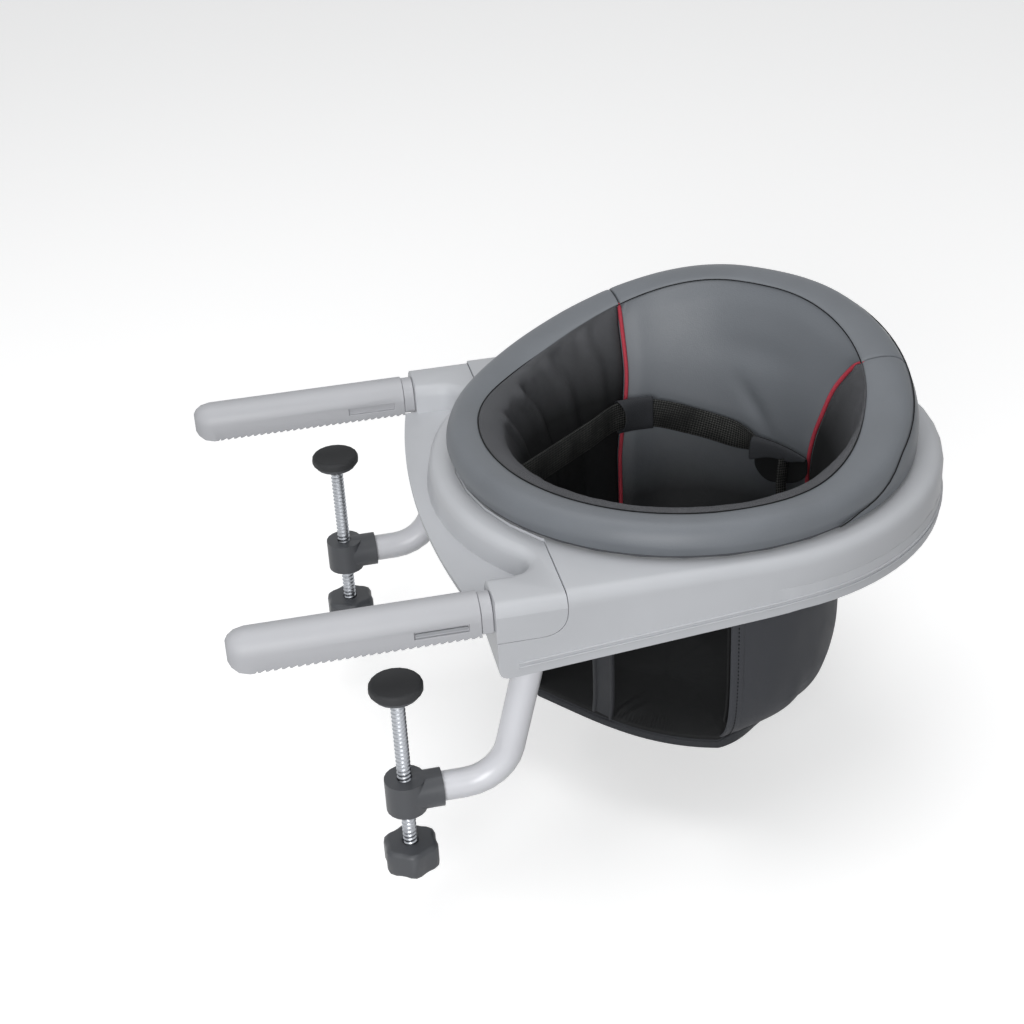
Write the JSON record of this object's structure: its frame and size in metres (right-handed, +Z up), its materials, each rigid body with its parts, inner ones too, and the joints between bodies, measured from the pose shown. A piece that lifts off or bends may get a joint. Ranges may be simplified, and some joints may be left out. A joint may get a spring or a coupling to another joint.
{
  "type": "hook-on table chair",
  "caption": "Hook-on child seat: a plastic base with arms that lie on a table, screw clamps that grip it from below, and a padded bucket that turns.",
  "frame": {"origin": "on the table top, at the table's edge, midway between the two arms", "axes": "+Z up from the table top, +Y from the table's edge towards the seat, +X towards the right-hand arm"},
  "size_m": [0.428, 0.6375, 0.3453],
  "materials": {
    "base_plastic": "fine satin moulding",
    "sleeve_plastic": "satin grip sleeve",
    "dark_plastic": "satin moulding",
    "glide_plastic": "slippery natural plastic",
    "painted_tube": "semi-gloss powder coat",
    "steel": "bright zinc",
    "pad_rubber": "matt",
    "grey_vinyl": "coated cloth with a soft sheen",
    "piping_cloth": "woven piping",
    "black_cloth": "woven nylon",
    "webbing": "coarse weave"
  },
  "bodies": {
    "base": {"base_shell": "base_plastic", "front_cover": "base_plastic", "base_underside": "base_plastic", "upper_arm_tube_left": "steel", "upper_arm_tube_right": "steel", "arm_sleeve_left": "sleeve_plastic", "arm_sleeve_right": "sleeve_plastic", "sleeve_clip_left": "sleeve_plastic", "sleeve_clip_right": "sleeve_plastic", "arm_collar_left": "base_plastic", "arm_collar_right": "base_plastic", "arm_socket_left": "dark_plastic", "arm_socket_right": "dark_plastic", "socket_screw_left_1": "steel", "socket_screw_left_2": "steel", "socket_screw_right_1": "steel", "socket_screw_right_2": "steel", "glide_ring": "glide_plastic", "detent_housing": "dark_plastic", "detent_spring": "steel"},
    "seat": {"seat_ring": "dark_plastic", "seat_retainer": "dark_plastic", "retainer_screw_1": "steel", "retainer_screw_2": "steel", "retainer_screw_3": "steel", "retainer_screw_4": "steel", "rim_pad_back": "grey_vinyl", "rim_pad_front": "grey_vinyl", "rim_skirt": "grey_vinyl", "bag_cloth": "black_cloth", "back_panel": "grey_vinyl", "side_lining": "black_cloth", "piping_left": "piping_cloth", "piping_right": "piping_cloth", "seat_pan": "black_cloth", "crotch_strap": "black_cloth", "waist_belt": "webbing", "belt_keeper_left": "black_cloth", "belt_keeper_right": "black_cloth"},
    "detent": {"detent_plunger": "steel"},
    "lower_arm_left": {"lower_arm_tube_left": "painted_tube", "stop_ring_left": "steel", "clamp_head_left": "dark_plastic", "clamp_nut_left": "steel"},
    "clamp_left": {"clamp_pad_left": "pad_rubber", "pad_cup_left": "dark_plastic"},
    "screw_left": {"clamp_screw_left": "steel", "clamp_knob_left": "dark_plastic", "knob_cap_left": "base_plastic"},
    "lower_arm_right": {"lower_arm_tube_right": "painted_tube", "stop_ring_right": "steel", "clamp_head_right": "dark_plastic", "clamp_nut_right": "steel"},
    "clamp_right": {"clamp_pad_right": "pad_rubber", "pad_cup_right": "dark_plastic"},
    "screw_right": {"clamp_screw_right": "steel", "clamp_knob_right": "dark_plastic", "knob_cap_right": "base_plastic"}
  },
  "joints": [
    {"name": "seat_swivel", "type": "hinge", "parent": "base", "child": "seat", "pos_m": [0, 0.21, 0.033], "axis": [0, 0, 1], "continuous": true},
    {"name": "detent_travel", "type": "slide", "parent": "base", "child": "detent", "axis": [0, 1, 0], "range_m": [0, 0.003], "stiffness_N_per_m": 600, "springref_m": -0.003},
    {"name": "lower_arm_swing_left", "type": "hinge", "parent": "base", "child": "lower_arm_left", "pos_m": [-0.19, 0.03, -0.05], "axis": [0, 0.2385, 0.9711], "range_deg": [-180, 0]},
    {"name": "clamp_travel_left", "type": "slide", "parent": "lower_arm_left", "child": "clamp_left", "axis": [0, 0, 1], "range_m": [-0.05, 0.02]},
    {"name": "screw_turn_left", "type": "hinge", "parent": "clamp_left", "child": "screw_left", "pos_m": [-0.19, -0.075, -0.15], "axis": [0, 0, 1], "continuous": true},
    {"name": "lower_arm_swing_right", "type": "hinge", "parent": "base", "child": "lower_arm_right", "pos_m": [0.19, 0.03, -0.05], "axis": [0, 0.2385, 0.9711], "range_deg": [0, 180]},
    {"name": "clamp_travel_right", "type": "slide", "parent": "lower_arm_right", "child": "clamp_right", "axis": [0, 0, 1], "range_m": [-0.05, 0.02]},
    {"name": "screw_turn_right", "type": "hinge", "parent": "clamp_right", "child": "screw_right", "pos_m": [0.19, -0.075, -0.15], "axis": [0, 0, 1], "continuous": true}
  ],
  "couplings": [
    {"joint": "screw_turn_left", "follows": "clamp_travel_left", "rad_per_m": 1570.8},
    {"joint": "screw_turn_right", "follows": "clamp_travel_right", "rad_per_m": 1570.8}
  ]
}
